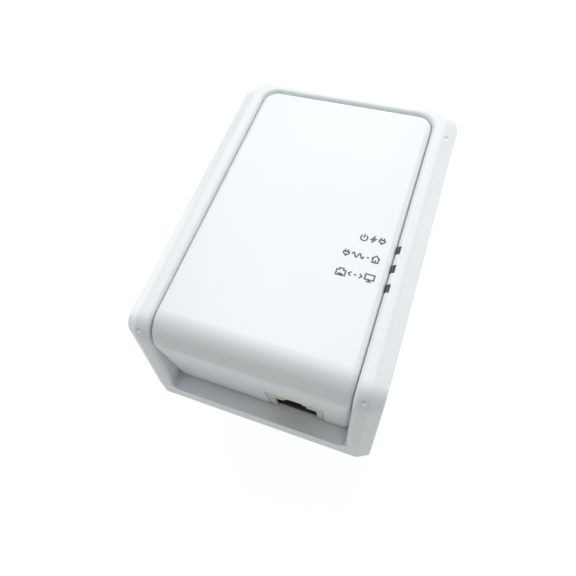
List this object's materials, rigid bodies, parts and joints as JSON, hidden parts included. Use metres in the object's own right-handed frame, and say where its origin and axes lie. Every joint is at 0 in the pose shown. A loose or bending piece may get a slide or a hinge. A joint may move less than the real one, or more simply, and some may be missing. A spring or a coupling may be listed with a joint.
{
  "type": "powerline adapter",
  "caption": "Plug-in mains networking adapter: folded white front cover in a two-part housing, network jack, round-pin plug and side button.",
  "frame": {"origin": "centre of the back face that lies against the wall, on the plug's axis", "axes": "+Z out from the wall towards the front cover, +Y up the wall away from the network jack, +X to the right seen from the front"},
  "size_m": [0.0676, 0.1003, 0.0735],
  "materials": {
    "housing_plastic": "white, satin moulded",
    "cover_plastic": "white, satin moulded",
    "button_plastic": "light grey, fine texture",
    "black_plastic": "black, matte",
    "gold_contacts": "gold plated",
    "circuit_board": "green solder mask",
    "insulation_film": "translucent film",
    "jack_plastic": "ivory, moulded",
    "chip_epoxy": "black epoxy",
    "thermal_rubber": "soft pad",
    "sink_aluminium": "extruded, plain",
    "can_steel": "plain can",
    "blue_coating": "dipped coating",
    "bobbin_plastic": "black, matte",
    "ferrite": "dark sintered",
    "copper_wire": "enamelled copper",
    "capacitor_box": "yellow moulded box",
    "capacitor_sleeve": "shrink sleeve",
    "winding_tape": "yellow tape",
    "pin_metal": "nickel plated brass",
    "strip_brass": "plain brass",
    "screw_steel": "zinc plated",
    "label_film": "silver film, blank",
    "lens_plastic": "dark smoked, glossy",
    "led_body": "clear lens on a white base"
  },
  "bodies": {
    "housing": {"bridge_rectifier": "chip_epoxy", "bulk_capacitor": "capacitor_sleeve", "choke_core": "ferrite", "choke_winding": "copper_wire", "contact_strip_left": "strip_brass", "contact_strip_right": "strip_brass", "converter_chip": "chip_epoxy", "coupling_transformer": "bobbin_plastic", "crystal": "can_steel", "ethernet_chip": "chip_epoxy", "ethernet_magnetics": "black_plastic", "flash_chip": "chip_epoxy", "flyback_core": "ferrite", "flyback_winding": "winding_tape", "front_cover": "cover_plastic", "front_frame": "housing_plastic", "fuse": "black_plastic", "header_block": "black_plastic", "header_pins": "gold_contacts", "heat_sink": "sink_aluminium", "housing_screws": "screw_steel", "insulation_sheet": "insulation_film", "jack_bezel": "jack_plastic", "jack_contacts": "gold_contacts", "jack_housing": "black_plastic", "led_ethernet": "led_body", "led_lens_ethernet": "lens_plastic", "led_lens_line": "lens_plastic", "led_lens_power": "lens_plastic", "led_line": "led_body", "led_power": "led_body", "main_board_screws": "screw_steel", "main_pcb": "circuit_board", "memory_chip": "chip_epoxy", "output_capacitor": "capacitor_sleeve", "output_diode": "chip_epoxy", "plc_chip": "chip_epoxy", "plug_base": "housing_plastic", "plug_base_screws": "screw_steel", "plug_pin_left": "pin_metal", "plug_pin_right": "pin_metal", "power_board_screws": "screw_steel", "power_pcb": "circuit_board", "rating_label": "label_film", "rear_shell": "housing_plastic", "safety_capacitor": "blue_coating", "switch_body": "black_plastic", "thermal_pad": "thermal_rubber", "varistor": "blue_coating", "x_capacitor": "capacitor_box"},
    "button": {"pair_button": "button_plastic", "switch_plunger": "black_plastic"}
  },
  "joints": [
    {"name": "button_press", "type": "slide", "parent": "housing", "child": "button", "axis": [-1, 0, 0], "range_m": [0, 0.0003], "stiffness_N_per_m": 1500}
  ]
}
